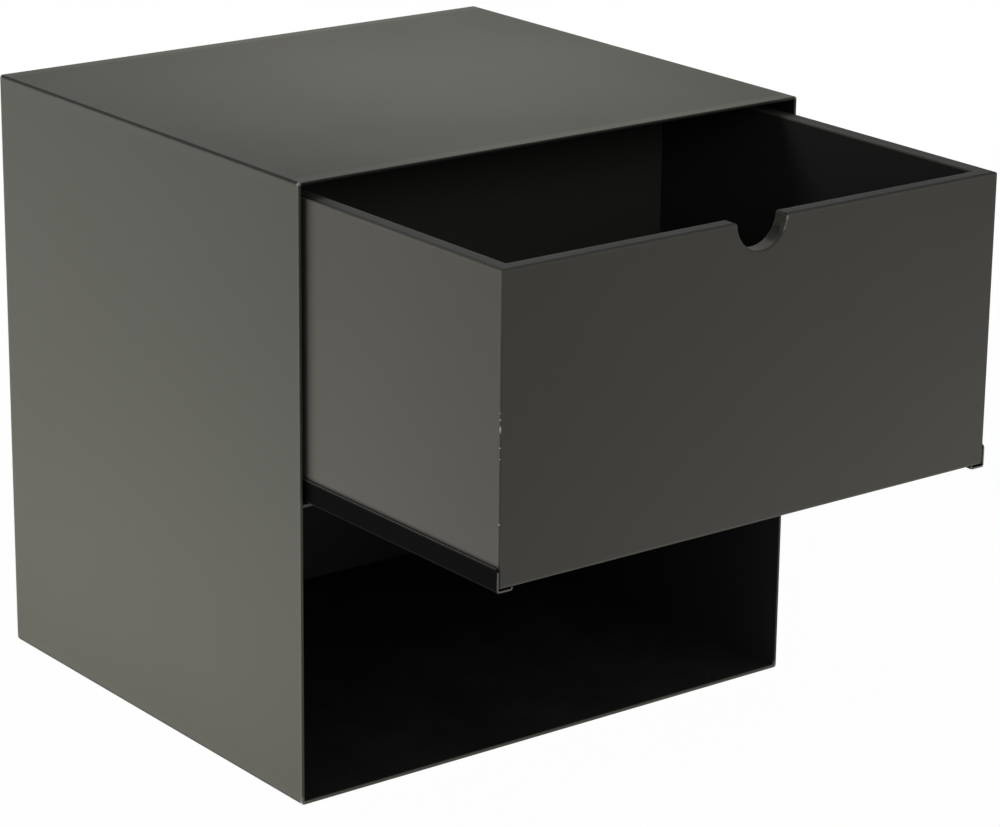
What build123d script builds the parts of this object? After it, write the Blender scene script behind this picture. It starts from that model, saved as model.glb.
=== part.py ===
from build123d import *
import os

# Cube cabinet: a sheet-steel casing, open at the front, with a lacquered drawer in its
# upper half and an open compartment below. Millimetres, +Z up. The drawer opens towards
# -Y. The origin is the centre of the casing's bottom face. The drawer is modelled part
# of the way out.

# ---- casing
casing_width = 350.0
casing_depth = 310.0
casing_height = 356.0
casing_sheet = 1.8
casing_corner_radius = 1.5
casing_edge_radius = 0.4

# ---- divider between the drawer and the open compartment
lower_space_height = 173.0
divider_sheet = 1.5
divider_fold_radius = 1.0
divider_flange_height = 14.0
divider_flange_setback = 12.0

# ---- back panel, let into the casing from behind
back_recess = 22.0
back_sheet = 1.2
back_fold_radius = 0.8
back_flange_depth = 15.0
corner_relief = 4.0
wall_hole_radius = 3.0
wall_hole_spacing = 250.0
wall_hole_drop = 32.0

# ---- drawer box
drawer_side_gap = 3.0
drawer_top_gap = 7.2
drawer_pull = 170.0
drawer_travel = 220.0
panel_thickness = 10.0
panel_edge_radius = 1.2
bottom_sheet = 4.0
bottom_inset = 9.0
groove_depth = 5.0
notch_radius = 17.0
notch_mouth_radius = 1.5

# ---- joints of the drawer box
key_width = 7.0
key_thickness = 3.0
key_end_margin = 14.0
dowel_radius = 3.0
dowel_in_side = 7.0
dowel_in_back = 19.0
dowel_end_margin = 26.0
dowels_per_corner = 3

# ---- steel runners under the drawer sides
runner_sheet = 1.0
runner_height = 13.2
runner_leg_width = 10.0
runner_lip = 0.9
runner_fold_radius = 1.4
runner_corner_radius = 2.5
runner_screw_radius = 1.5
runner_screw_head_radius = 2.8
runner_screw_grip = 7.0
runner_screw_end_margin = 30.0
runner_screws_per_side = 3

# ---- glide strips on the divider, and tilt strips under the casing's top
glide_thickness = 0.5
glide_width = 8.0
glide_end_margin = 8.0
tilt_strip_width = 10.0
tilt_strip_front_margin = 26.0
tilt_strip_rear_margin = 10.0
tilt_strip_lead_in = 2.0

# ---- stops
bumper_radius = 6.0
bumper_thickness = 4.0
bumper_edge_radius = 1.0
bumper_inset = 50.0
stop_length = 16.0
stop_width = 14.0
stop_height = 7.5
stop_edge_radius = 1.0
stop_inset = 42.0
stop_screw_radius = 2.0
stop_screw_head_radius = 3.5
stop_screw_head_height = 2.2
stop_screw_grip = 5.0

# ---- clearances
sliding_gap = 0.3
limit_gap = 0.3
screw_hole_gap = 0.2
thread_gap = 0.05
key_gap = 0.05
groove_gap = 0.1
panel_end_gap = 0.3
overcut = 2.0

# ---- levels, from the floor up
divider_underside = casing_sheet + lower_space_height
divider_top = divider_underside + divider_sheet
glide_top = divider_top + glide_thickness
runner_underside = glide_top + sliding_gap
drawer_low = runner_underside + runner_sheet + runner_lip
drawer_high = casing_height - casing_sheet - drawer_top_gap
groove_low = drawer_low + bottom_inset

# ---- places across the cabinet
inner_half = casing_width / 2 - casing_sheet
drawer_half = inner_half - drawer_side_gap
runner_outside = drawer_half + runner_sheet
runner_leg_middle = runner_outside - runner_leg_width / 2
drawer_inner_half = drawer_half - panel_thickness
bumper_offset = drawer_inner_half - bumper_inset
stop_offset = drawer_inner_half - stop_inset

# ---- places from front to back
casing_front = -casing_depth / 2
casing_rear = casing_depth / 2
back_front_face = casing_rear - back_recess - back_sheet
drawer_length = back_front_face - bumper_thickness - limit_gap - casing_front
drawer_front = casing_front - drawer_pull
drawer_rear = drawer_front + drawer_length
stop_rear_face = casing_front + drawer_length - panel_thickness - drawer_travel - limit_gap


def block(x_range, y_range, z_range):
    """A box between its low and high limits along X, Y and Z."""
    middles = [(low + high) / 2 for low, high in (x_range, y_range, z_range)]
    lengths = [high - low for low, high in (x_range, y_range, z_range)]
    return Pos(*middles) * Box(*lengths)


def both_sides(half):
    """The limits of something as wide each side of the middle."""
    return (-half, half)


def rod(radius, start, end):
    """A round bar from one point to another along X, Y or Z."""
    axis = Vector(*end) - Vector(*start)
    plane = Plane(origin=start, z_dir=axis.normalized())
    return extrude(plane * Circle(radius), axis.length)


def spread(low, high, count):
    """Evenly spaced places from low to high, both ends included."""
    return [low + (high - low) * i / (count - 1) for i in range(count)]


def cross_recess(size, depth):
    """The cross-shaped pocket in a screw head whose outer face is at z = 0."""
    bar_width = size / 4
    slot = Box(size, bar_width, 2 * depth)
    return slot + Rot(0, 0, 90) * slot


# ---- casing group

def make_casing_shell():
    """Four walls of folded sheet, open at the front and the rear."""
    shell = block(both_sides(casing_width / 2), (casing_front, casing_rear), (0, casing_height))
    shell = fillet(shell.edges().filter_by(Axis.Y), casing_corner_radius)
    shell -= block(
        both_sides(inner_half),
        (casing_front - overcut, casing_rear + overcut),
        (casing_sheet, casing_height - casing_sheet),
    )
    rims = shell.edges().group_by(Axis.Y)
    return fillet(rims[0] + rims[-1], casing_edge_radius)


def make_back_panel():
    """A pan with four flanges turned to the rear, which hold it to the casing's walls."""
    low = casing_sheet
    high = casing_height - casing_sheet
    flange_end = back_front_face + back_flange_depth
    pan = block(both_sides(inner_half), (back_front_face, flange_end), (low, high))
    front_edges = pan.edges().group_by(Axis.Y)[0]
    pan = fillet(front_edges, back_fold_radius)
    pan -= block(
        both_sides(inner_half - back_sheet),
        (back_front_face + back_sheet, flange_end + overcut),
        (low + back_sheet, high - back_sheet),
    )
    for x in (-inner_half, inner_half):
        for z in (low, high):
            pan -= block(
                (x - corner_relief, x + corner_relief),
                (back_front_face - overcut, flange_end + overcut),
                (z - corner_relief, z + corner_relief),
            )
    hole_height = high - wall_hole_drop
    for x in both_sides(wall_hole_spacing / 2):
        pan -= rod(
            wall_hole_radius,
            (x, back_front_face - overcut, hole_height),
            (x, back_front_face + back_sheet + overcut, hole_height),
        )
    return pan


def stop_centre(side):
    """The middle of a stop block, seen from above: side is -1 on the left, 1 on the right."""
    return side * stop_offset, stop_rear_face - stop_length / 2


def make_divider_shelf():
    """A flat sheet with a flange turned down along each side and along the rear."""
    flange_low = divider_top - divider_flange_height
    shelf = block(
        both_sides(inner_half), (casing_front, back_front_face), (flange_low, divider_top)
    )
    folds = shelf.edges().group_by(Axis.Z)[-1]
    shelf = fillet(folds.filter_by(Axis.Y) + folds.sort_by(Axis.Y)[-1:], divider_fold_radius)
    shelf -= block(
        both_sides(inner_half - divider_sheet),
        (casing_front - overcut, back_front_face - divider_sheet),
        (flange_low - overcut, divider_underside),
    )
    shelf -= block(
        both_sides(inner_half + overcut),
        (casing_front - overcut, casing_front + divider_flange_setback),
        (flange_low - overcut, divider_underside),
    )
    for x in (-inner_half, inner_half):
        shelf -= block(
            (x - corner_relief, x + corner_relief),
            (back_front_face - corner_relief, back_front_face + corner_relief),
            (flange_low - overcut, divider_top + overcut),
        )
    for side in (-1, 1):
        x, y = stop_centre(side)
        hole = stop_screw_radius + screw_hole_gap
        shelf -= rod(hole, (x, y, flange_low), (x, y, divider_top + overcut))
    return shelf


def make_glide_strip(side):
    """A thin low-friction strip stuck to the divider under one runner."""
    middle = side * runner_leg_middle
    return block(
        (middle - glide_width / 2, middle + glide_width / 2),
        (casing_front + glide_end_margin, back_front_face - glide_end_margin),
        (divider_top, glide_top),
    )


def make_tilt_strip(side):
    """A strip under the casing's top that keeps the drawer from tipping when it is out."""
    middle = side * (drawer_half - panel_thickness / 2)
    ceiling = casing_height - casing_sheet
    strip = block(
        (middle - tilt_strip_width / 2, middle + tilt_strip_width / 2),
        (casing_front + tilt_strip_front_margin, back_front_face - tilt_strip_rear_margin),
        (drawer_high + sliding_gap, ceiling),
    )
    low_ends = strip.edges().group_by(Axis.Z)[0].filter_by(Axis.X)
    return chamfer(low_ends, tilt_strip_lead_in)


def make_closing_bumpers():
    """Round rubber pads on the back panel, which stop the drawer when it is closed."""
    height = (drawer_low + drawer_high) / 2
    bumpers = []
    for x in both_sides(bumper_offset):
        face = back_front_face - bumper_thickness
        pad = rod(bumper_radius, (x, back_front_face, height), (x, face, height))
        pad = fillet(pad.edges().group_by(Axis.Y)[0], bumper_edge_radius)
        bumpers.append(pad)
    return Compound(children=bumpers)


def make_stop_block(side):
    """A block on the divider that the drawer's back meets at full travel."""
    x, y = stop_centre(side)
    body = block(
        (x - stop_width / 2, x + stop_width / 2),
        (y - stop_length / 2, y + stop_length / 2),
        (divider_top, divider_top + stop_height),
    )
    body = fillet(body.edges().group_by(Axis.Z)[-1], stop_edge_radius)
    hole = stop_screw_radius + thread_gap
    depth = stop_screw_grip + panel_end_gap
    return body - rod(hole, (x, y, divider_top - overcut), (x, y, divider_top + depth))


def make_stop_screws():
    """Pan-head screws that hold the stop blocks from under the divider."""
    screws = []
    head_low = divider_underside - stop_screw_head_height
    for side in (-1, 1):
        x, y = stop_centre(side)
        head = rod(stop_screw_head_radius, (x, y, head_low), (x, y, divider_underside))
        head = fillet(head.edges().group_by(Axis.Z)[0], stop_screw_head_height / 2)
        shank = rod(
            stop_screw_radius, (x, y, divider_underside), (x, y, divider_top + stop_screw_grip)
        )
        recess = cross_recess(stop_screw_head_radius, stop_screw_head_height / 2)
        screws.append(head + shank - Pos(x, y, head_low) * recess)
    return Compound(children=screws)


# ---- drawer group

def key_places():
    """The middle and the turn of the key in each front corner."""
    middle = panel_thickness / 2
    return [(s * (drawer_half - middle), drawer_front + middle, s * 45) for s in (-1, 1)]


def make_key(x, y, turn, gap):
    """A flat key across a mitre, or its slot when gap is more than nothing."""
    length = drawer_high - drawer_low - 2 * key_end_margin - bottom_inset
    middle = drawer_high - key_end_margin - length / 2
    key = Box(key_width + 2 * gap, key_thickness + 2 * gap, length + 2 * gap)
    return Pos(x, y, middle) * Rot(0, 0, turn) * key


def make_dowels(gap):
    """The dowels of both rear corners, or their holes when gap is more than nothing."""
    y = drawer_rear - panel_thickness / 2
    heights = spread(
        drawer_low + dowel_end_margin, drawer_high - dowel_end_margin, dowels_per_corner
    )
    dowels = []
    for side in (-1, 1):
        for z in heights:
            inside = (side * (drawer_inner_half - dowel_in_back - gap), y, z)
            outside = (side * (drawer_inner_half + dowel_in_side + gap), y, z)
            dowels.append(rod(dowel_radius + gap, inside, outside))
    return dowels


def runner_screw_places():
    """The foot of each runner screw: x and y."""
    places = spread(
        drawer_front + runner_screw_end_margin,
        drawer_rear - runner_screw_end_margin,
        runner_screws_per_side,
    )
    return [(side * runner_leg_middle, y) for side in (-1, 1) for y in places]


def make_drawer_ring():
    """The four walls of the drawer in one ring, with every edge, groove and hole in it."""
    ring = block(both_sides(drawer_half), (drawer_front, drawer_rear), (drawer_low, drawer_high))
    ring = fillet(ring.edges().filter_by(Axis.Z), panel_edge_radius)
    ring -= block(
        both_sides(drawer_inner_half),
        (drawer_front + panel_thickness, drawer_rear - panel_thickness),
        (drawer_low - overcut, drawer_high + overcut),
    )
    ring -= rod(
        notch_radius,
        (0, drawer_front - overcut, drawer_high),
        (0, drawer_front + panel_thickness + overcut, drawer_high),
    )
    mouth = ring.edges().filter_by(Axis.Y).group_by(Axis.Z)[-1]
    mouth = mouth.filter_by(lambda edge: abs(edge.center().X) < notch_radius + overcut)
    ring = fillet(mouth, notch_mouth_radius)
    rims = ring.edges().group_by(Axis.Z)
    ring = fillet(rims[0] + rims[-1], panel_edge_radius)
    ring -= block(
        both_sides(drawer_inner_half + groove_depth),
        (
            drawer_front + panel_thickness - groove_depth,
            drawer_rear - panel_thickness + groove_depth,
        ),
        (groove_low, groove_low + bottom_sheet + groove_gap),
    )
    for place in key_places():
        ring -= make_key(*place, key_gap)
    for hole in make_dowels(thread_gap):
        ring -= hole
    for x, y in runner_screw_places():
        ring -= rod(
            runner_screw_radius + thread_gap,
            (x, y, drawer_low - overcut),
            (x, y, drawer_low + runner_screw_grip + panel_end_gap),
        )
    return ring


def split_drawer_ring(ring):
    """The ring cut into its panels: mitred at the front, butted at the rear."""
    reach = panel_thickness + overcut
    outline = Polyline(
        (-drawer_half - overcut, drawer_front - overcut),
        (drawer_half + overcut, drawer_front - overcut),
        (drawer_half - reach, drawer_front + reach),
        (-drawer_half + reach, drawer_front + reach),
        close=True,
    )
    height = drawer_high - drawer_low + 2 * overcut
    front_region = Pos(0, 0, drawer_low - overcut) * extrude(make_face(outline), height)
    back_region = block(
        both_sides(drawer_inner_half),
        (drawer_rear - reach, drawer_rear + overcut),
        (drawer_low - overcut, drawer_high + overcut),
    )
    sides = ring - front_region - back_region
    left, right = sides.solids().sort_by(Axis.X)
    return {
        "drawer_front": ring & front_region,
        "drawer_back": ring & back_region,
        "drawer_left_side": left,
        "drawer_right_side": right,
    }


def make_drawer_bottom():
    """A thin sheet held in the grooves of the four walls."""
    reach = groove_depth - panel_end_gap
    return block(
        both_sides(drawer_inner_half + reach),
        (drawer_front + panel_thickness - reach, drawer_rear - panel_thickness + reach),
        (groove_low, groove_low + bottom_sheet),
    )


def make_runner(side):
    """Folded strip along a drawer side: a leg up its face, a leg under its edge and a lip."""
    outline = Polyline(
        (0, 0),
        (0, runner_height),
        (runner_sheet, runner_height),
        (runner_sheet, runner_sheet),
        (runner_leg_width - runner_sheet, runner_sheet),
        (runner_leg_width - runner_sheet, runner_sheet + runner_lip),
        (runner_leg_width, runner_sheet + runner_lip),
        (runner_leg_width, 0),
        close=True,
    )
    section = Plane.XZ * make_face(outline)
    strip = extrude(section, drawer_length, dir=(0, 1, 0))
    inner_folds = strip.edges().filter_by(Axis.Y).group_by(Axis.Z)[1]
    strip = fillet(inner_folds, runner_fold_radius - runner_sheet)
    outer_folds = strip.edges().filter_by(Axis.Y).group_by(Axis.Z)[0]
    strip = fillet(outer_folds, runner_fold_radius)
    upper_corners = strip.edges().group_by(Axis.Z)[-1].filter_by(Axis.X)
    strip = fillet(upper_corners, runner_corner_radius)
    strip = Pos(-runner_outside, drawer_front, runner_underside) * strip
    for x, y in runner_screw_places():
        if x < 0:
            strip -= make_runner_screw(x, y, screw_hole_gap)
    if side > 0:
        strip = mirror(strip, Plane.YZ)
    return strip


def make_runner_screw(x, y, gap):
    """A countersunk screw standing in the runner's lower leg, or its hole with a gap."""
    head_height = runner_screw_head_radius - runner_screw_radius
    cone = Cone(
        runner_screw_head_radius + gap,
        runner_screw_radius + gap,
        head_height,
        align=(Align.CENTER, Align.CENTER, Align.MIN),
    )
    shank_end = drawer_low - runner_underside + runner_screw_grip
    shank = rod(runner_screw_radius + gap, (0, 0, 0), (0, 0, shank_end))
    return Pos(x, y, runner_underside) * (cone + shank)


def make_runner_screws():
    """All the screws that hold the runners to the drawer sides."""
    recess = cross_recess(runner_screw_head_radius, runner_screw_radius / 2)
    screws = []
    for x, y in runner_screw_places():
        screws.append(make_runner_screw(x, y, 0) - Pos(x, y, runner_underside) * recess)
    return Compound(children=screws)


nodes = {
    "casing_shell": make_casing_shell(),
    "back_panel": make_back_panel(),
    "divider_shelf": make_divider_shelf(),
    "left_glide_strip": make_glide_strip(-1),
    "right_glide_strip": make_glide_strip(1),
    "left_tilt_strip": make_tilt_strip(-1),
    "right_tilt_strip": make_tilt_strip(1),
    "closing_bumpers": make_closing_bumpers(),
    "left_stop_block": make_stop_block(-1),
    "right_stop_block": make_stop_block(1),
    "stop_screws": make_stop_screws(),
    "drawer_bottom": make_drawer_bottom(),
    "front_corner_keys": Compound(children=[make_key(*place, 0) for place in key_places()]),
    "rear_corner_dowels": Compound(children=make_dowels(0)),
    "left_runner": make_runner(-1),
    "right_runner": make_runner(1),
    "runner_screws": make_runner_screws(),
}
nodes.update(split_drawer_ring(make_drawer_ring()))

os.makedirs("parts", exist_ok=True)
for name, shape in nodes.items():
    export_step(shape, f"parts/{name}.step")
    print(name, len(shape.solids()), "solid(s)", round(shape.volume, 1), "mm3")
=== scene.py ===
# %% [markdown]
# # A drawer cabinet in warm grey, pulled open in a plain studio
#
# The cabinet is a square casing of folded sheet steel with a lacquered wooden drawer in its upper
# half and an open compartment below. The CAD model already holds every real shape, so this lesson
# is about surfaces: how a coat of paint differs on an outside face, on an eased edge and deep
# inside a box, and how plain studio light brings that out.
#
# Everything is in metres and shares the CAD frame: X to the right, Y to the rear, Z up, with the
# origin at the middle of the casing's underside. The drawer opens towards -Y.

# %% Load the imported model
import math

import bpy
import bmesh
from mathutils import Matrix, Vector


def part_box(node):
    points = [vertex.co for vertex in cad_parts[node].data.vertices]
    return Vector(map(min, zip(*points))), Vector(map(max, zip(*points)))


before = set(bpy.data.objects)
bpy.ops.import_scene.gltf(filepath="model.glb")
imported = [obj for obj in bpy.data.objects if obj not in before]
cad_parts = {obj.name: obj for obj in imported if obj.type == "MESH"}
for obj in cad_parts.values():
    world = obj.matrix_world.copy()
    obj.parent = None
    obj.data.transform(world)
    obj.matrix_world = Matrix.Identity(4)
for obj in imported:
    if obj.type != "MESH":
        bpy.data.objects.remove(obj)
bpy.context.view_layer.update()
for plain_material in list(bpy.data.materials):
    bpy.data.materials.remove(plain_material)

# %% [markdown]
# ## Where things are
#
# A finish that knows where it is on a piece needs a few places: the middle and the half size of
# the casing and of the drawer. They are read from the loaded nodes, so a changed CAD model moves
# the finish with it. One millimetre gets a name, because nearly every width below is given in it.

# %% Measure the casing and the drawer
MM = 0.001


def middle_and_half(*nodes):
    """The middle and the half size of the box round some CAD nodes."""
    boxes = [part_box(node) for node in nodes]
    low = Vector([min(box[0][axis] for box in boxes) for axis in range(3)])
    high = Vector([max(box[1][axis] for box in boxes) for axis in range(3)])
    return (low + high) / 2, (high - low) / 2


casing_middle, casing_half = middle_and_half("casing_shell")
drawer_middle, drawer_half = middle_and_half(
    "drawer_front", "drawer_left_side", "drawer_right_side", "drawer_back"
)
runner_middle, runner_half = middle_and_half("left_runner", "right_runner")
sheet = casing_half.x - middle_and_half("back_panel")[1].x
board = 2 * middle_and_half("drawer_front")[1].y
print("casing half size (mm):", [round(size / MM, 1) for size in casing_half])
print("drawer half size (mm):", [round(size / MM, 1) for size in drawer_half])
runner_top = runner_middle.z + runner_half.z
print("casing sheet and drawer board (mm):", round(sheet / MM, 2), round(board / MM, 2))

# %% [markdown]
# ## The camera
#
# A product picture of a small cabinet is taken with a long lens from a few steps away, so that the
# box keeps its square look. The camera stands to the front left and a little above the top. It is
# placed by its position and its line of sight, and rolled by a hair, as a hand-levelled tripod is.
# The lens isn't shifted, so the same camera can be carried round the cabinet for other views.

# %% Place the camera
CAMERA_PLACE = Vector((-1.2333, -1.7041, 0.8408))
CAMERA_SIGHT = Vector((0.5803, 0.7531, -0.3100))
CAMERA_ROLL = math.radians(0.66)
LENS_MM = 132.5

camera = bpy.data.objects.new("camera", bpy.data.cameras.new("camera"))
camera.data.lens = LENS_MM
camera.data.sensor_width = 36.0
aim = CAMERA_SIGHT.to_track_quat("-Z", "Y")
camera.matrix_world = (
    Matrix.Translation(CAMERA_PLACE) @ aim.to_matrix().to_4x4() @ Matrix.Rotation(CAMERA_ROLL, 4, "Z")
)
bpy.context.scene.collection.objects.link(camera)
bpy.context.scene.camera = camera
print("lens", LENS_MM, "mm at", [round(value, 3) for value in CAMERA_PLACE])

# %% [markdown]
# ## Small tools for shader nodes
#
# A procedural finish is a chain of many small nodes. Written out one by one they bury the idea, so
# four short helpers do the wiring: one adds any node and connects it, one does arithmetic, one
# turns a distance into a soft mask, and one mixes two colours by a mask.

# %% Helpers for nodes


def add(tree, kind, *inputs, **settings):
    """Adds a node. Each input is a value to set or an output to connect; None leaves it alone."""
    node = tree.nodes.new("ShaderNode" + kind)
    for name, value in settings.items():
        setattr(node, name, value)
    for socket, value in zip(node.inputs, inputs):
        if isinstance(value, bpy.types.NodeSocket):
            tree.links.new(value, socket)
        elif value is not None:
            socket.default_value = value
    return node


def calc(tree, operation, *values):
    """One step of arithmetic on numbers."""
    return add(tree, "Math", *values, operation=operation).outputs[0]


def soft_step(tree, value, start, end):
    """0 where value is at start and 1 where it is at end, with a smooth change between."""
    node = add(tree, "MapRange", value, start, end, interpolation_type="SMOOTHSTEP")
    return node.outputs[0]


def mix_colours(tree, mask, base, over):
    """The base colour where mask is 0 and the other where it is 1."""
    node = add(tree, "Mix", data_type="RGBA")
    for socket, value in (("Factor_Float", mask), ("A_Color", base), ("B_Color", over)):
        target = next(item for item in node.inputs if item.identifier == socket)
        if isinstance(value, bpy.types.NodeSocket):
            tree.links.new(value, target)
        elif isinstance(value, float):
            target.default_value = value
        else:
            target.default_value = (*value, 1.0)
    return next(item for item in node.outputs if item.identifier == "Result_Color")


print("node helpers ready")

# %% [markdown]
# ## Groups: one effect, several finishes
#
# The casing, the drawer and the runners are made of different stuff but age and are sprayed in the
# same ways. Each such effect is built once as a node group with named inputs and outputs, and each
# finish uses it with its own numbers. A group hands out only masks, values and colours; the shader
# itself stays in the material.

# %% Start a node group


def new_group(name, inputs, outputs):
    """A shader node group with sockets given as (name, "Float", "Vector" or "Color")."""
    tree = bpy.data.node_groups.new(name, "ShaderNodeTree")
    for side, sockets in (("INPUT", inputs), ("OUTPUT", outputs)):
        for label, kind in sockets:
            tree.interface.new_socket(name=label, in_out=side, socket_type="NodeSocket" + kind)
    return tree, tree.nodes.new("NodeGroupInput").outputs, tree.nodes.new("NodeGroupOutput").inputs


def use(tree, group, **inputs):
    """Puts a group in a tree. Spaces in its socket names are written as underscores."""
    node = tree.nodes.new("ShaderNodeGroup")
    node.node_tree = group
    for label, value in inputs.items():
        socket = node.inputs[label.replace("_", " ")]
        if isinstance(value, bpy.types.NodeSocket):
            tree.links.new(value, socket)
        else:
            socket.default_value = value
    return node.outputs


print("group helpers ready")

# %% [markdown]
# ### How far in from the faces and edges
#
# Wear and paint follow edges. The CAD meshes are loose triangles, so Blender can't find their
# edges by looking at neighbouring faces. Both big pieces are boxes, though, and on a box an edge is
# simply where a point is close to two faces at once. So the group gives how deep a point lies under
# each pair of faces. The larger of two depths is the distance to the edge between those faces, and
# the largest of all three is the distance to a corner.

# %% Group: distances in a box
box_distances, given, put = new_group(
    "box distances",
    [("Point", "Vector"), ("Middle", "Vector"), ("Half Size", "Vector")],
    [("In X", "Float"), ("In Y", "Float"), ("In Z", "Float"), ("Corner", "Float")],
)
tree = box_distances
from_middle = add(tree, "VectorMath", given["Point"], given["Middle"], operation="SUBTRACT")
spread = add(tree, "VectorMath", from_middle.outputs[0], operation="ABSOLUTE")
inset = add(tree, "VectorMath", given["Half Size"], spread.outputs[0], operation="SUBTRACT")
in_x, in_y, in_z = add(tree, "SeparateXYZ", inset.outputs[0]).outputs
corner = calc(tree, "MAXIMUM", calc(tree, "MAXIMUM", in_x, in_y), in_z)
for socket, value in zip(put, (in_x, in_y, in_z, corner)):
    tree.links.new(value, socket)
print("group:", box_distances.name)

# %% [markdown]
# ### A sprayed coat
#
# Spray and powder never dry quite level. Up close there is a fine skin like orange peel, about a
# millimetre across and only a few thousandths of a millimetre deep. From further off the coat is
# cloudy, because the gun passes up and down in overlapping strokes. A few specks of dust dry into
# it. Three noises at those three sizes give the height, the cloud and the specks.

# %% Group: sprayed coat
sprayed_coat, given, put = new_group(
    "sprayed coat",
    [("Point", "Vector"), ("Peel Size", "Float"), ("Cloud Size", "Float")],
    [("Height", "Float"), ("Cloud", "Float"), ("Speck", "Float")],
)
tree = sprayed_coat
peel_scale = calc(tree, "DIVIDE", 1.0, given["Peel Size"])
cloud_scale = calc(tree, "DIVIDE", 1.0, given["Cloud Size"])
peel = add(tree, "TexNoise", given["Point"], None, peel_scale, 2.0, 0.55)
strokes = add(tree, "Mapping", given["Point"], vector_type="POINT")
strokes.inputs["Scale"].default_value = (1.0, 1.0, 0.45)
cloud = add(tree, "TexNoise", strokes.outputs[0], None, cloud_scale, 3.0, 0.5)
cloud_spread = add(tree, "MapRange", cloud.outputs[0], 0.3, 0.7, -1.0, 1.0)
speck_cells = add(tree, "TexVoronoi", given["Point"], None, 55.0)
speck_near = soft_step(tree, speck_cells.outputs["Distance"], 0.016, 0.008)
speck_rare = soft_step(tree, add(tree, "SeparateColor", speck_cells.outputs["Color"]).outputs[0], 0.86, 0.87)
speck = calc(tree, "MULTIPLY", speck_near, speck_rare)
for socket, value in zip(put, (peel.outputs[0], cloud_spread.outputs[0], speck)):
    tree.links.new(value, socket)
print("group:", sprayed_coat.name)

# %% [markdown]
# ### What happens to a coat at an edge
#
# Along a sharp fold the colour turns to the black ground coat in a thin dark line. Just inside that
# line the grey is painted paler in a band like a picture frame, a painted highlight along the edge. At
# the very corners the metal or wood itself shows. The line wanders a little, which a noise added to
# the distance takes care of.

# %% Group: thin edge
thin_edge, given, put = new_group(
    "thin edge",
    [("Point", "Vector"), ("Edge", "Float"), ("Corner", "Float"), ("Width", "Float")],
    [("Thin", "Float"), ("Frame", "Float"), ("Bare", "Float")],
)
tree = thin_edge
wander = add(tree, "TexNoise", given["Point"], None, 90.0, 3.0, 0.6).outputs[0]
wander = calc(tree, "MULTIPLY_ADD", wander, 0.8, 0.6)
width = calc(tree, "MULTIPLY", given["Width"], wander)
ratio = calc(tree, "DIVIDE", given["Edge"], width)
thin = soft_step(tree, ratio, 1.35, 0.65)
# Painted highlight: the frame is a paler band just inside the line.
frame_in = soft_step(tree, ratio, 1.2, 2.2)
frame_out = soft_step(tree, ratio, 6.5, 2.4)
painted_edge_highlight = calc(tree, "MULTIPLY", frame_in, frame_out)
bare = soft_step(tree, calc(tree, "DIVIDE", given["Corner"], width), 1.5, 0.9)
for socket, value in zip(put, (thin, painted_edge_highlight, bare)):
    tree.links.new(value, socket)
print("group:", thin_edge.name)

# %% [markdown]
# ### Dust
#
# A black shelf shows every grain of dust. It lies only on faces that look up, in fine separate
# grains with a thin film between them. The face's direction gives the first part, and a fine
# cellular pattern with a noise across it gives the second.

# %% Group: settled dust
settled_dust, given, put = new_group(
    "settled dust",
    [("Point", "Vector"), ("Direction", "Vector"), ("Amount", "Float")],
    [("Dust", "Float")],
)
tree = settled_dust
upward = soft_step(tree, add(tree, "SeparateXYZ", given["Direction"]).outputs[2], 0.6, 0.95)
grains = add(tree, "TexVoronoi", given["Point"], None, 260.0)
grain = soft_step(tree, grains.outputs["Distance"], 0.16, 0.06)
kept = soft_step(tree, add(tree, "SeparateColor", grains.outputs["Color"]).outputs[0], 0.93, 0.95)
film = add(tree, "TexNoise", given["Point"], None, 14.0, 4.0, 0.6).outputs[0]
film = add(tree, "MapRange", film, 0.35, 0.7, 0.0, 0.12).outputs[0]
dust = calc(tree, "MAXIMUM", calc(tree, "MULTIPLY", grain, kept), film)
dust = calc(tree, "MULTIPLY", calc(tree, "MULTIPLY", dust, upward), given["Amount"])
tree.links.new(dust, put["Dust"])
print("group:", settled_dust.name)

# %% [markdown]
# ## A blank finish to start from
#
# Every material below starts the same way: a Principled shader, the point on the piece in its own
# coordinates, and the direction of the face. Numbers that are the same all over a surface, such as
# how strongly it reflects, are set on the shader itself. The rest is connected.

# %% Start a material


def blank_finish(name, reflectance):
    """A material's tree, its shader, and the outputs that give the point and the direction."""
    material = bpy.data.materials.new(name)
    material.use_nodes = True
    tree = material.node_tree
    tree.nodes.clear()
    shader = add(tree, "BsdfPrincipled")
    shader.inputs["Specular IOR Level"].default_value = reflectance
    add(tree, "OutputMaterial", shader.outputs[0])
    place = add(tree, "TexCoord").outputs
    return material, tree, shader, place["Object"], place["Normal"]


def finish_surface(tree, shader, colour, roughness, height, depth):
    """Connects colour, roughness and a bump whose full height is depth metres."""
    tree.links.new(colour, shader.inputs["Base Color"])
    tree.links.new(roughness, shader.inputs["Roughness"])
    bump = add(tree, "Bump")
    bump.inputs["Strength"].default_value = 1.0
    bump.inputs["Distance"].default_value = depth
    tree.links.new(height, bump.inputs["Height"])
    tree.links.new(bump.outputs[0], shader.inputs["Normal"])


def plain(tree, colour):
    """A node that gives one colour."""
    node = add(tree, "RGB")
    node.outputs[0].default_value = (*colour, 1.0)
    return node.outputs[0]


def brighter(tree, colour, amount):
    """A colour made lighter by a share: amount 0.05 is five percent lighter."""
    gain = calc(tree, "ADD", amount, 1.0)
    node = add(tree, "VectorMath", colour, gain, operation="MULTIPLY")
    return node.outputs[0]


print("material helpers ready")

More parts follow.
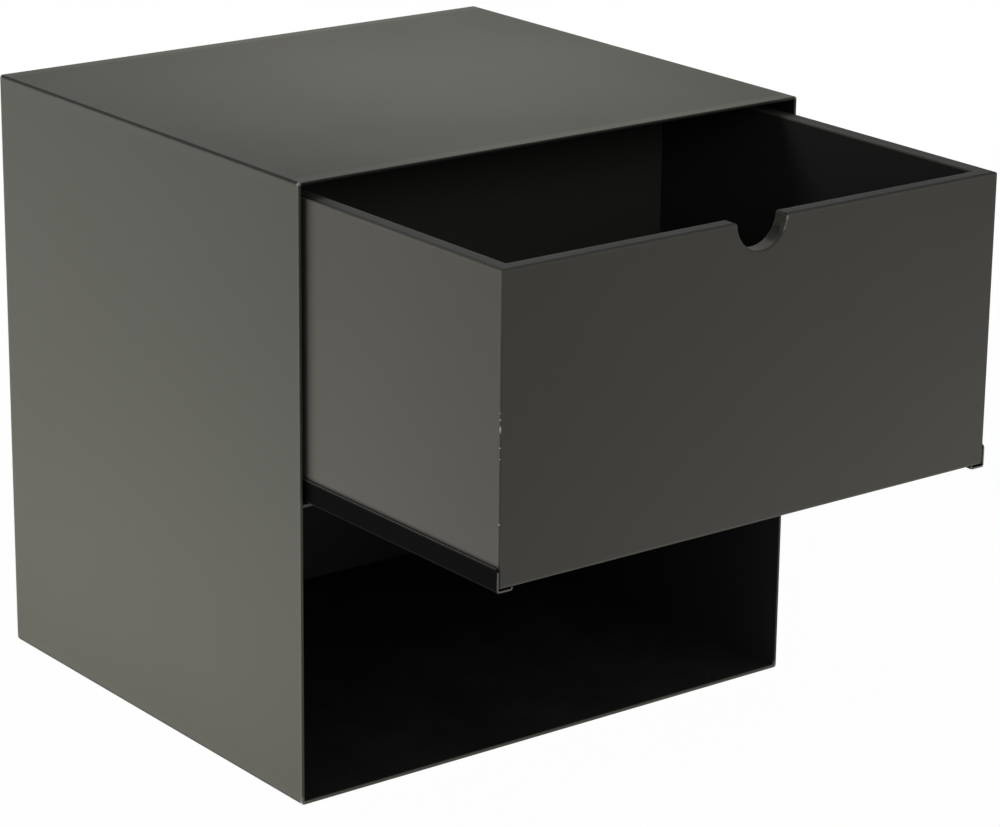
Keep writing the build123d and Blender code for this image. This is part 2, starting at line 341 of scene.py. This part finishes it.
# %% [markdown]
# ## Two paints: warm grey outside, black inside
#
# Casing and drawer are first coated black all over, then sprayed warm grey on the faces that show
# when the cabinet is closed, with the wall of the finger notch. So the inside and the rims of the
# drawer boards stay black, and the black comes through again along the sharp folds. Both paints are
# satin: dull enough to hide fingerprints, with a soft sheen where the light grazes.

# %% Colours of the paints
CASING_GREY = (0.1000, 0.0985, 0.0825)
DRAWER_GREY = (0.1165, 0.1126, 0.0980)
BLACK_COAT = (0.0205, 0.0205, 0.0210)
BLACK_LACQUER = (0.0525, 0.0520, 0.0505)
MATT_BLACK = (0.0028, 0.0028, 0.0028)
CUT_STEEL = (0.24, 0.235, 0.22)
BARE_STEEL = (0.40, 0.39, 0.37)
PALE_FILLER = (0.62, 0.61, 0.58)
# The dust colour also paints the highlight along the runners' fold.
DUST_AND_FOLD_HIGHLIGHT_GREY = (0.20, 0.19, 0.17)
SATIN = 0.60
print("casing grey", CASING_GREY, "drawer grey", DRAWER_GREY, "over black", BLACK_COAT)

# %% [markdown]
# ### The casing
#
# The shell is one folded sheet, so a single test tells outside from inside: how deep a point lies
# under the outer faces, measured across the casing only. The grey wraps round the cut front rims
# and stops at the inner faces, except that along the bottom it runs a millimetre over the inner
# edge. At the top it covers only the outer half of the rim, which leaves the rest dark as painted
# shade. Along the long folds, which run from front to rear, the dark ground shows as a fine line.

# %% Casing: where the grey reaches
FOLD_LINE = 1.35 * MM
OVER_INNER_EDGE = 1.4 * MM
casing_paint, tree, shader, point, direction = blank_finish("casing_paint", 0.12)
within = use(tree, box_distances, Point=point, Middle=casing_middle, Half_Size=casing_half)
height_up = add(tree, "SeparateXYZ", point).outputs[2]
upper = soft_step(tree, height_up, casing_middle.z, casing_middle.z + MM)
lower = calc(tree, "SUBTRACT", 1.0, upper)
on_side = soft_step(tree, within["In X"], 0.92 * sheet, 0.75 * sheet)
# Painted shade: on the top rim the grey stops at the outer half, leaving the rest dark.
on_roof = soft_step(tree, within["In Z"], 0.60 * sheet, 0.30 * sheet)
on_base = soft_step(tree, within["In Z"], 0.995 * sheet, 0.93 * sheet)
spill = soft_step(tree, within["In Y"], OVER_INNER_EDGE, OVER_INNER_EDGE - 0.6 * MM)
base_rim = calc(tree, "MULTIPLY", calc(tree, "MAXIMUM", on_base, spill), lower)
near_base = soft_step(tree, within["In Z"], 3.0 * sheet, 2.0 * sheet)
base_rim = calc(tree, "MULTIPLY", base_rim, near_base)
on_flat = add(tree, "MapRange", upper, 0.0, 1.0, base_rim, on_roof).outputs[0]
outside = calc(tree, "MAXIMUM", on_side, on_flat)
fold = calc(tree, "MAXIMUM", within["In X"], within["In Z"])
edge_wear_and_highlight = use(tree, thin_edge, Point=point, Edge=fold, Corner=within["Corner"], Width=FOLD_LINE)
covered = calc(tree, "SUBTRACT", 1.0, calc(tree, "MULTIPLY", edge_wear_and_highlight["Thin"], 0.85))
covered = calc(tree, "MULTIPLY", outside, covered)
print("casing: sheet", round(sheet / MM, 2), "mm, fold line", round(FOLD_LINE / MM, 2), "mm")

# %% [markdown]
# The coat is not one grey, and part of its change is painted light. Along the cut front edge the grey
# is lifted as a painted highlight: the last few millimetres of the top are paler, and the rim at the
# bottom is the palest. The other front rims are a little darker as painted shade, and so is the front
# left corner of the top, where the grey fades into a patch of painted shade.

# %% Casing: painted highlight on the lips and painted shade on a corner
TOP_LIP = 9.0 * MM
RIM_LIP = 2.4 * MM
CORNER_SHADE_REACH = 175 * MM
facing = add(tree, "SeparateXYZ", direction).outputs
upward = soft_step(tree, facing[2], 0.5, 0.9)
forward = soft_step(tree, facing[1], -0.5, -0.9)
reach = calc(tree, "MULTIPLY_ADD", upward, TOP_LIP - RIM_LIP, RIM_LIP)
lip = soft_step(tree, calc(tree, "DIVIDE", within["In Y"], reach), 1.15, 0.65)
# Painted light: the top's front band is lifted as painted highlight, the front rims are darkened as painted
# shade, and the bottom rim is lifted the most.
painted_lip_gain = calc(tree, "MULTIPLY_ADD", upward, 0.34, 0.08)
painted_lip_gain = calc(tree, "MULTIPLY_ADD", forward, -0.22, painted_lip_gain)
painted_lip_gain = calc(tree, "MULTIPLY_ADD", base_rim, 0.80, painted_lip_gain)
# Painted shade: the top darkens towards its front left corner.
shaded_corner = casing_middle + Vector((-1, -1, 1)) * casing_half
painted_shade_patch = add(tree, "VectorMath", point, shaded_corner, operation="DISTANCE")
painted_shade_patch = soft_step(tree, painted_shade_patch.outputs["Value"], CORNER_SHADE_REACH, 10 * MM)
painted_shade_patch = calc(tree, "MULTIPLY", painted_shade_patch, upward)
coat = use(tree, sprayed_coat, Point=point, Peel_Size=1.1 * MM, Cloud_Size=90 * MM)
grey = brighter(tree, plain(tree, CASING_GREY), calc(tree, "MULTIPLY", coat["Cloud"], 0.035))
# Painted highlight: a band just inside each fold is lifted five percent.
grey = brighter(tree, grey, calc(tree, "MULTIPLY", edge_wear_and_highlight["Frame"], 0.05))
grey = brighter(tree, grey, calc(tree, "MULTIPLY", lip, painted_lip_gain))
grey = brighter(tree, grey, calc(tree, "MULTIPLY", painted_shade_patch, -0.33))
print("casing: a hand reaches", round(CORNER_SHADE_REACH / MM), "mm in from the corner")

# %% [markdown]
# The shader gets the two paints mixed by the mask, bare steel at the corners, and dust on what looks
# up inside. The bump is the skin of the coat, only a hundredth of a millimetre deep.

# %% Casing: put the paint together
colour = mix_colours(tree, covered, BLACK_COAT, grey)
colour = mix_colours(tree, edge_wear_and_highlight["Bare"], colour, BARE_STEEL)
dust = use(tree, settled_dust, Point=point, Direction=direction, Amount=1.0)
inside_dust = calc(tree, "MULTIPLY", dust["Dust"], calc(tree, "SUBTRACT", 1.0, outside))
colour = mix_colours(tree, inside_dust, colour, DUST_AND_FOLD_HIGHLIGHT_GREY)
roughness = add(tree, "MapRange", coat["Cloud"], -1.0, 1.0, SATIN - 0.03, SATIN + 0.03).outputs[0]
height = calc(tree, "ADD", coat["Height"], coat["Speck"])
finish_surface(tree, shader, colour, roughness, height, 0.012 * MM)
print("finish:", casing_paint.name)

# %% [markdown]
# ### The drawer boards
#
# The four boards share one lacquer. The ring's outer faces and the finger notch are grey, and the
# rims and the inside are black. The two colours meet on the eased edge: the grey reaches round it
# by about two thirds, which is where a spray gun held square to the face stops covering. Knocks on
# the mitred corner have chipped the lacquer down to pale filler. Each chip is given by how far it
# lies below the top rim and by how far it reaches, and a fine noise makes its outline ragged.

# %% Group: chips in the lacquer
chipped, given, put = new_group("chipped lacquer", [("Point", "Vector")], [("Chip", "Float")])
tree = chipped
ragged = add(tree, "TexNoise", given["Point"], None, 900.0, 2.0, 0.6).outputs[0]
ragged = calc(tree, "MULTIPLY_ADD", ragged, 1.2, -0.6)
left_face = drawer_middle.x - drawer_half.x
front_face = drawer_middle.y - drawer_half.y
top_rim = drawer_middle.z + drawer_half.z
CHIP_DEPTH = 0.9 * MM
chips = 0.0
for below, reach_x, reach_z in (
    (74.1, 0.5, 0.5),
    (77.7, 0.5, 0.5),
    (82.6, 0.6, 2.5),
    (92.4, 0.5, 0.4),
    (98.4, 0.5, 0.4),
    (133.0, 0.6, 0.6),
):
    centre = (left_face, front_face, top_rim - below * MM)
    away = add(tree, "VectorMath", given["Point"], centre, operation="SUBTRACT").outputs[0]
    sizes = (1 / (reach_x * MM), 1 / CHIP_DEPTH, 1 / (reach_z * MM))
    scaled = add(tree, "VectorMath", away, sizes, operation="MULTIPLY").outputs[0]
    size = add(tree, "VectorMath", scaled, operation="LENGTH").outputs["Value"]
    near = soft_step(tree, calc(tree, "ADD", size, ragged), 1.1, 0.9)
    chips = calc(tree, "MAXIMUM", chips, near)
tree.links.new(chips, put["Chip"])
print("group:", chipped.name)

# %% [markdown]
# The finger notch is a half circle centred on the top rim, so one distance, from the circle's
# middle line, finds its wall, which the gun coated grey. Fingertips have worn a dark blotch low on
# the right, and a knock has chipped a thin pale line out of the front edge above it.

# %% Group: the finger notch
NOTCH_RADIUS = 17.0 * MM
notch_wear, given, put = new_group(
    "notch wear", [("Point", "Vector")], [("Wall", "Float"), ("Worn", "Float"), ("Chip", "Float")]
)
tree = notch_wear
notch_middle = (0.0, front_face, top_rim)
away = add(tree, "VectorMath", given["Point"], notch_middle, operation="SUBTRACT").outputs[0]
flat = add(tree, "VectorMath", away, (1.0, 0.0, 1.0), operation="MULTIPLY").outputs[0]
radius = add(tree, "VectorMath", flat, operation="LENGTH").outputs["Value"]
along_x, along_y, along_z = add(tree, "SeparateXYZ", away).outputs
wall = soft_step(tree, radius, NOTCH_RADIUS + 0.30 * MM, NOTCH_RADIUS + 0.05 * MM)
wall = calc(tree, "MULTIPLY", wall, soft_step(tree, along_y, 11.0 * MM, 10.2 * MM))
patch = add(tree, "VectorMath", away, (13.0 * MM, 6.0 * MM, -11.0 * MM), operation="SUBTRACT")
patch = add(tree, "VectorMath", patch.outputs[0], operation="LENGTH").outputs["Value"]
blotches = add(tree, "TexNoise", given["Point"], None, 260.0, 3.0, 0.6).outputs[0]
worn = calc(tree, "ADD", calc(tree, "DIVIDE", patch, 6.0 * MM), calc(tree, "SUBTRACT", blotches, 0.5))
worn = calc(tree, "MULTIPLY", soft_step(tree, worn, 1.2, 0.6), wall)
off_edge = calc(tree, "ABSOLUTE", calc(tree, "SUBTRACT", radius, NOTCH_RADIUS))
off_edge = calc(tree, "ADD", off_edge, along_y)
off_edge = calc(tree, "MULTIPLY_ADD", blotches, 0.8 * MM, off_edge)
chip_up = soft_step(tree, along_z, -10.0 * MM, -7.0 * MM)
chip_up = calc(tree, "MULTIPLY", chip_up, soft_step(tree, along_x, 0.0, MM))
chip = calc(tree, "MULTIPLY", chip_up, soft_step(tree, off_edge, 1.35 * MM, 0.95 * MM))
tree.links.new(chip, put["Chip"])
tree.links.new(wall, put["Wall"])
tree.links.new(worn, put["Worn"])
print("group:", notch_wear.name)

# %% [markdown]
# The mask of the grey is worked out first. A rim's edge is eased, and on the eased part the depth
# under the top and the depth under the side trade places, so their difference tells how far round
# the edge a point lies. The mask stops there, wanders a little, and takes in the notch's wall.

# %% Drawer: where the grey reaches
drawer_lacquer, tree, shader, point, direction = blank_finish("drawer_lacquer", 0.06)
within = use(tree, box_distances, Point=point, Middle=drawer_middle, Half_Size=drawer_half)
coat = use(tree, sprayed_coat, Point=point, Peel_Size=0.8 * MM, Cloud_Size=70 * MM)
corner_edge = calc(tree, "MAXIMUM", within["In X"], within["In Y"])
edge_wear_and_highlight = use(tree, thin_edge, Point=point, Edge=corner_edge, Corner=within["Corner"], Width=0.45 * MM)
chip = use(tree, chipped, Point=point)
notch = use(tree, notch_wear, Point=point)
side_depth = calc(tree, "MINIMUM", within["In X"], within["In Y"])
outer_face = soft_step(tree, side_depth, 2.0 * MM, 1.4 * MM)
wander = calc(tree, "MULTIPLY", coat["Cloud"], 0.1 * MM)
round_edge = calc(tree, "ADD", calc(tree, "SUBTRACT", within["In Z"], side_depth), wander)
reached = soft_step(tree, round_edge, -0.75 * MM, -0.35 * MM)
outside = calc(tree, "MAXIMUM", calc(tree, "MULTIPLY", outer_face, reached), notch["Wall"])
outside = calc(tree, "MULTIPLY", outside, calc(tree, "SUBTRACT", 1.0, notch["Worn"]))
covered = calc(tree, "SUBTRACT", 1.0, calc(tree, "MULTIPLY", edge_wear_and_highlight["Thin"], 0.8))
covered = calc(tree, "MULTIPLY", outside, covered)
print("drawer board:", round(board / MM, 2), "mm, finger notch radius", round(NOTCH_RADIUS / MM, 1), "mm")

# %% [markdown]
# The grey is painted paler on the eased edge and on the notch's wall, as painted highlight, and it
# fades to dark in the narrow seam just above the runner, as painted shade.

# %% Drawer: shades of the grey
SEAM_SHADE_HEIGHT = 3.4 * MM
grey = brighter(tree, plain(tree, DRAWER_GREY), calc(tree, "MULTIPLY", coat["Cloud"], 0.03))
# Painted highlight: a band just inside each edge is lifted six percent.
grey = brighter(tree, grey, calc(tree, "MULTIPLY", edge_wear_and_highlight["Frame"], 0.06))
# Painted highlight on the eased top edge and, below, on the notch's wall.
eased_highlight = soft_step(tree, within["In Z"], 1.8 * MM, 1.1 * MM)
grey = brighter(tree, grey, calc(tree, "MULTIPLY", eased_highlight, 0.25))
grey = brighter(tree, grey, calc(tree, "MULTIPLY", notch["Wall"], 0.50))
# Painted shade: the seam just above the runner fades to dark.
over_runner = calc(tree, "SUBTRACT", add(tree, "SeparateXYZ", point).outputs[2], runner_top)
seam_shade = soft_step(tree, over_runner, SEAM_SHADE_HEIGHT, -0.2 * MM)
seam_shade = calc(tree, "MULTIPLY", seam_shade, soft_step(tree, within["In X"], 1.5 * MM, 0.5 * MM))
grey = brighter(tree, grey, calc(tree, "MULTIPLY", calc(tree, "MULTIPLY", seam_shade, seam_shade), -0.8))
print("drawer: the seam over the runner fades out", round(SEAM_SHADE_HEIGHT / MM, 1), "mm up")

# %% [markdown]
# The black varies as well, and these changes are painted light. Along the inner edge of a rim it is
# lifted towards the grey as a painted highlight, and along the outer edge a matt black line is painted
# shade. Faces that look to the front, such as the inner face of the back board, are mixed a little
# towards the grey as painted light.

# %% Drawer: shades of the black
on_rim = soft_step(tree, within["In Z"], 1.3 * MM, 1.0 * MM)
near_inner_face = soft_step(tree, side_depth, board - 2.4 * MM, board - 1.4 * MM)
inner_edge_highlight = calc(tree, "MULTIPLY", on_rim, near_inner_face)
outer_edge_shade = calc(tree, "MULTIPLY", on_rim, soft_step(tree, side_depth, 3.1 * MM, 2.1 * MM))
forward = soft_step(tree, add(tree, "SeparateXYZ", direction).outputs[1], -0.5, -0.9)
# Painted highlight along a rim's inner edge, and painted shade as a matt line along its outer edge.
black = mix_colours(tree, calc(tree, "MULTIPLY", inner_edge_highlight, 0.75), BLACK_LACQUER, DRAWER_GREY)
black = mix_colours(tree, outer_edge_shade, black, MATT_BLACK)
# Painted light: faces that look to the front are greyer.
black = mix_colours(tree, calc(tree, "MULTIPLY", forward, 0.30), black, DRAWER_GREY)
print("drawer: rims and inside are mixed from", BLACK_LACQUER, "and", MATT_BLACK)

# %% [markdown]
# Last come the chips and a little dust, and the skin of the lacquer as a bump. It is finer than the
# skin of the powder coat, because wet lacquer flows out before it dries.

# %% Drawer: put the lacquer together
colour = mix_colours(tree, covered, black, grey)
chips = calc(tree, "MAXIMUM", chip["Chip"], notch["Chip"])
colour = mix_colours(tree, chips, colour, PALE_FILLER)
dust = use(tree, settled_dust, Point=point, Direction=direction, Amount=0.5)
colour = mix_colours(tree, dust["Dust"], colour, DUST_AND_FOLD_HIGHLIGHT_GREY)
roughness = add(tree, "MapRange", coat["Cloud"], -1.0, 1.0, SATIN - 0.04, SATIN + 0.02).outputs[0]
height = calc(tree, "ADD", coat["Height"], coat["Speck"])
finish_surface(tree, shader, colour, roughness, height, 0.008 * MM)
print("finish:", drawer_lacquer.name)

# %% [markdown]
# ### Plain black parts
#
# Four finishes are one dark colour with its own skin: the black powder coat of the back panel and
# the divider, the lacquered drawer floor, the slippery strips and the rubber pads. They differ in
# how rough they are, in the size of the skin and in how much dust they keep, so one function makes
# them all from those numbers. The divider's front edge faces the spray and has taken the grey.

# %% Function: plain dark finish


def plain_dark(name, colour, reflectance, rough, peel_mm, depth_mm, dust_amount, scuff, front=None):
    """A dark coat or moulding with its own skin, dust, scuffed streaks and maybe a grey front edge."""
    material, tree, shader, point, direction = blank_finish(name, reflectance)
    coat = use(tree, sprayed_coat, Point=point, Peel_Size=peel_mm * MM, Cloud_Size=60 * MM)
    along = add(tree, "Mapping", point, vector_type="POINT")
    along.inputs["Scale"].default_value = (900.0, 9.0, 900.0)
    streak = add(tree, "TexNoise", along.outputs[0], None, 1.0, 3.0, 0.6).outputs[0]
    streak = calc(tree, "MULTIPLY", soft_step(tree, streak, 0.52, 0.72), scuff)
    shade = brighter(tree, plain(tree, colour), calc(tree, "MULTIPLY", coat["Cloud"], 0.12))
    shade = mix_colours(tree, streak, shade, [min(1.0, 3.0 * part) for part in colour])
    if front is not None:
        along_y = add(tree, "SeparateXYZ", point).outputs[1]
        on_edge = soft_step(tree, along_y, front + 0.6 * MM, front + 0.3 * MM)
        shade = mix_colours(tree, on_edge, shade, CASING_GREY)
    dust = use(tree, settled_dust, Point=point, Direction=direction, Amount=dust_amount)
    shade = mix_colours(tree, dust["Dust"], shade, DUST_AND_FOLD_HIGHLIGHT_GREY)
    roughness = add(tree, "MapRange", coat["Cloud"], -1.0, 1.0, rough - 0.05, rough + 0.05).outputs[0]
    roughness = calc(tree, "SUBTRACT", roughness, calc(tree, "MULTIPLY", streak, 0.15))
    finish_surface(tree, shader, shade, roughness, coat["Height"], depth_mm * MM)
    return material


divider_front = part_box("divider_shelf")[0][1]
inner_paint = plain_dark("inner_paint", BLACK_COAT, 0.15, 0.52, 1.1, 0.012, 1.0, 0.0, divider_front)
drawer_floor = plain_dark("drawer_floor", BLACK_COAT, 0.15, 0.55, 0.8, 0.010, 1.0, 0.25)
glide_plastic = plain_dark("glide_plastic", (0.030, 0.030, 0.030), 0.35, 0.40, 0.6, 0.006, 0.5, 0.8)
bumper_rubber = plain_dark("bumper_rubber", (0.022, 0.022, 0.022), 0.25, 0.75, 0.7, 0.030, 0.6, 0.0)
print("finishes:", inner_paint.name, drawer_floor.name, glide_plastic.name, bumper_rubber.name)

# %% [markdown]
# ### The runners
#
# The runners are cut from sheet that was painted matt black before cutting and folding. So their
# faces swallow nearly all light, while the sheared edges, on top and at both ends, are bare steel.
# A faint lighter line along the fold is a painted highlight, and the sheared top edge is painted darker
# than the ends as painted shade. A cut edge is found by how little a point lies under the top or the end
# of the strip.

# %% Finish: runner paint
runner_paint, tree, shader, point, direction = blank_finish("runner_paint", 0.01)
within = use(tree, box_distances, Point=point, Middle=runner_middle, Half_Size=runner_half)
coat = use(tree, sprayed_coat, Point=point, Peel_Size=0.9 * MM, Cloud_Size=60 * MM)
height_up = add(tree, "SeparateXYZ", point).outputs[2]
upper_half = soft_step(tree, height_up, runner_middle.z, runner_middle.z + MM)
under_top = calc(tree, "ADD", within["In Z"], calc(tree, "SUBTRACT", 1.0, upper_half))
cut_top = soft_step(tree, under_top, 0.40 * MM, 0.15 * MM)
cut_end = soft_step(tree, within["In Y"], 0.16 * MM, 0.06 * MM)
cut = calc(tree, "MAXIMUM", cut_top, cut_end)
fold = calc(tree, "MAXIMUM", within["In X"], within["In Z"])
# Painted highlight: a faint lighter line along the fold.
fold_highlight = calc(tree, "MULTIPLY", soft_step(tree, fold, 1.5 * MM, 0.9 * MM), 0.05)
shade = brighter(tree, plain(tree, MATT_BLACK), calc(tree, "MULTIPLY", coat["Cloud"], 0.12))
shade = mix_colours(tree, fold_highlight, shade, DUST_AND_FOLD_HIGHLIGHT_GREY)
grain = add(tree, "TexNoise", point, None, 1200.0, 2.0, 0.5).outputs[0]
steel = brighter(tree, plain(tree, CUT_STEEL), calc(tree, "SUBTRACT", grain, 0.5))
# Painted shade: the sheared top edge at half the brightness of the ends.
steel = brighter(tree, steel, calc(tree, "MULTIPLY", cut_top, -0.5))
shade = mix_colours(tree, cut, shade, steel)
roughness = add(tree, "MapRange", coat["Cloud"], -1.0, 1.0, 0.62, 0.70).outputs[0]
finish_surface(tree, shader, shade, roughness, coat["Height"], 0.015 * MM)
print("finish:", runner_paint.name)

# %% [markdown]
# ### Zinc on the screws
#
# Zinc plating is a soft, slightly blue metal skin with a patchy shine. It is fully metallic, and a
# small noise moves its colour and its roughness together, because the dull patches are also darker.

# %% Finish: zinc plate
screw_steel, tree, shader, point, direction = blank_finish("screw_steel", 0.5)
shader.inputs["Metallic"].default_value = 1.0
patches = add(tree, "TexNoise", point, None, 700.0, 3.0, 0.55).outputs[0]
colour = mix_colours(tree, patches, (0.62, 0.64, 0.66), (0.42, 0.43, 0.45))
roughness = add(tree, "MapRange", patches, 0.3, 0.7, 0.26, 0.42).outputs[0]
finish_surface(tree, shader, colour, roughness, patches, 0.01 * MM)
print("finish:", screw_steel.name)

# %% [markdown]
# ### Bare beech
#
# The keys and dowels that lock the drawer's corners are unfinished beech. Its growth rings are
# faint, and what marks the wood is a scatter of short dark flecks along the grain. The keys and
# dowels are small, so the rings are stretched a long way along the piece and the flecks are short.

# %% Finish: bare beech
bare_wood, tree, shader, point, direction = blank_finish("bare_wood", 0.35)
grain = add(tree, "Mapping", point, vector_type="POINT")
grain.inputs["Scale"].default_value = (1.0, 1.0, 0.12)
rings = add(tree, "TexNoise", grain.outputs[0], None, 420.0, 4.0, 0.6).outputs[0]
flecks = add(tree, "TexVoronoi", grain.outputs[0], None, 1500.0).outputs["Distance"]
fleck = calc(tree, "MULTIPLY", soft_step(tree, flecks, 0.3, 0.1), 0.5)
colour = mix_colours(tree, rings, (0.60, 0.44, 0.28), (0.46, 0.31, 0.18))
colour = mix_colours(tree, fleck, colour, (0.26, 0.15, 0.08))
roughness = add(tree, "MapRange", rings, 0.2, 0.8, 0.55, 0.72).outputs[0]
finish_surface(tree, shader, colour, roughness, rings, 0.03 * MM)
print("finish:", bare_wood.name)

# %% [markdown]
# ## Put the finishes on
#
# The record names a material slot for each node, and the finishes above carry the same names, so
# the nodes are matched by name and none can be forgotten.

# %% Assign the finishes
finishes = {
    finish.name: finish
    for finish in (
        casing_paint,
        drawer_lacquer,
        inner_paint,
        drawer_floor,
        runner_paint,
        glide_plastic,
        bumper_rubber,
        screw_steel,
        bare_wood,
    )
}
slots = {
    "casing_shell": "casing_paint",
    "back_panel": "inner_paint",
    "divider_shelf": "inner_paint",
    "closing_bumpers": "bumper_rubber",
    "stop_screws": "screw_steel",
    "runner_screws": "screw_steel",
    "drawer_bottom": "drawer_floor",
    "front_corner_keys": "bare_wood",
    "rear_corner_dowels": "bare_wood",
}
for side in ("left", "right"):
    slots[side + "_runner"] = "runner_paint"
    slots["drawer_" + side + "_side"] = "drawer_lacquer"
    for strip in ("_glide_strip", "_tilt_strip", "_stop_block"):
        slots[side + strip] = "glide_plastic"
slots["drawer_front"] = slots["drawer_back"] = "drawer_lacquer"
for name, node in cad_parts.items():
    node.data.materials.clear()
    node.data.materials.append(finishes[slots[name]])
print("finished nodes:", len(slots))

# %% [markdown]
# ## The studio floor
#
# The cabinet stands on a pale floor that runs out to white. The floor is a plain sheet well larger
# than the picture. Near the cabinet it is a matt off-white that takes a shadow, and part of its
# light is its own, seen only by the camera and in reflections, so it reads as white without any
# more light on the cabinet. Further out it fades to plain white.

# %% Build the floor
FLOOR_HALF = 6.0
floor_mesh = bpy.data.meshes.new("studio_floor")
shape = bmesh.new()
bmesh.ops.create_grid(shape, x_segments=12, y_segments=12, size=FLOOR_HALF)
bmesh.ops.translate(shape, vec=(0.0, 0.0, -0.0002), verts=shape.verts)
shape.to_mesh(floor_mesh)
shape.free()
floor = bpy.data.objects.new("studio_floor", floor_mesh)
bpy.context.scene.collection.objects.link(floor)

FLOOR_MATT = 0.88
NEAR_WHITE = 0.985
floor_paint = bpy.data.materials.new("studio_floor")
floor_paint.use_nodes = True
tree = floor_paint.node_tree
tree.nodes.clear()
ray = add(tree, "LightPath").outputs
seen = calc(tree, "MAXIMUM", ray["Is Camera Ray"], ray["Is Glossy Ray"])
seen = calc(tree, "MAXIMUM", seen, ray["Is Transmission Ray"])
out = add(tree, "VectorMath", add(tree, "TexCoord").outputs["Object"], operation="LENGTH")
fade = soft_step(tree, out.outputs["Value"], 0.5, 1.2)
white_share = add(tree, "MapRange", fade, 0.0, 1.0, NEAR_WHITE, 1.0).outputs[0]
matt = add(tree, "BsdfDiffuse", (FLOOR_MATT, FLOOR_MATT, FLOOR_MATT, 1.0))
white = add(tree, "Emission", (1.0, 1.0, 1.0, 1.0), 1.0)
share = calc(tree, "MULTIPLY", seen, white_share)
whole = add(tree, "MixShader", share, matt.outputs[0], white.outputs[0])
add(tree, "OutputMaterial", whole.outputs[0])
floor_mesh.materials.append(floor_paint)
print("floor:", 2 * FLOOR_HALF, "m square")

# %% [markdown]
# ## Light
#
# A small soft box hangs close over the top, so the light on the top fades towards its edges. A long
# strip low on the left gives that side its pale, even tone. Of the two boxes in front, the strong
# one stands further off and lights the front, and the weak one hangs over the drawer and shines
# down into it. A white table also throws light back up, most of it low and close by, and three thin
# strips just above the floor stand for that. A last strip at the rear keeps the far sides readable.

# %% Helper: a soft box


def soft_box(name, place, target, width, height, power):
    """A rectangular lamp that faces a target. Power is in watts."""
    lamp = bpy.data.lights.new(name, "AREA")
    lamp.shape = "RECTANGLE"
    lamp.size = width
    lamp.size_y = height
    lamp.energy = power
    holder = bpy.data.objects.new(name, lamp)
    holder.visible_camera = False
    sight = (Vector(target) - Vector(place)).to_track_quat("-Z", "Y")
    holder.matrix_world = Matrix.Translation(place) @ sight.to_matrix().to_4x4()
    bpy.context.scene.collection.objects.link(holder)


print("soft box helper ready")

# %% Hang the lamps
soft_box("overhead_box", (0.05, 0.04, 0.64), (0.05, 0.04, 0.3), 0.2, 0.2, 0.64)
soft_box("left_strip", (-1.05, 0.40, 0.10), (-0.17, 0.05, 0.1), 1.5, 0.16, 7.8)
soft_box("front_box", (-0.4, -1.6, 0.95), (0.0, -0.2, 0.25), 0.8, 0.5, 2.60)
soft_box("front_hanging_box", (0.0, -0.85, 0.95), (0.0, -0.1, 0.25), 0.6, 0.4, 0.40)
soft_box("left_floor_strip", (-0.38, -0.04, 0.03), (-0.175, -0.04, 0.06), 0.7, 0.03, 0.36)
soft_box("front_floor_strip", (0.05, -0.5, 0.03), (0.05, -0.325, 0.2), 0.5, 0.03, 0.12)
soft_box("right_floor_strip", (0.45, -0.65, 0.04), (0.1, -0.33, 0.2), 0.8, 0.05, 0.80)
soft_box("rear_strip", (1.0, 1.1, 0.12), (0.1, 0.1, 0.15), 1.4, 0.16, 7.0)

# %% [markdown]
# The room itself is white, but it hardly lights the cabinet: Light Path shows it at full strength
# only to the camera and in reflections, and gives the faces no more than a trace of fill.

# %% World
AMBIENT = 0.025
world = bpy.data.worlds.new("studio")
world.use_nodes = True
bpy.context.scene.world = world
tree = world.node_tree
tree.nodes.clear()
ray = add(tree, "LightPath").outputs
seen = calc(tree, "MAXIMUM", ray["Is Camera Ray"], ray["Is Glossy Ray"])
seen = calc(tree, "MAXIMUM", seen, ray["Is Transmission Ray"])
strength = add(tree, "MapRange", seen, 0.0, 1.0, AMBIENT, 1.0).outputs[0]
sky = add(tree, "Background", (1.0, 1.0, 1.0, 1.0), strength)
add(tree, "OutputWorld", sky.outputs[0])
bpy.context.scene.view_settings.view_transform = "Standard"
print("world: fill light", AMBIENT)
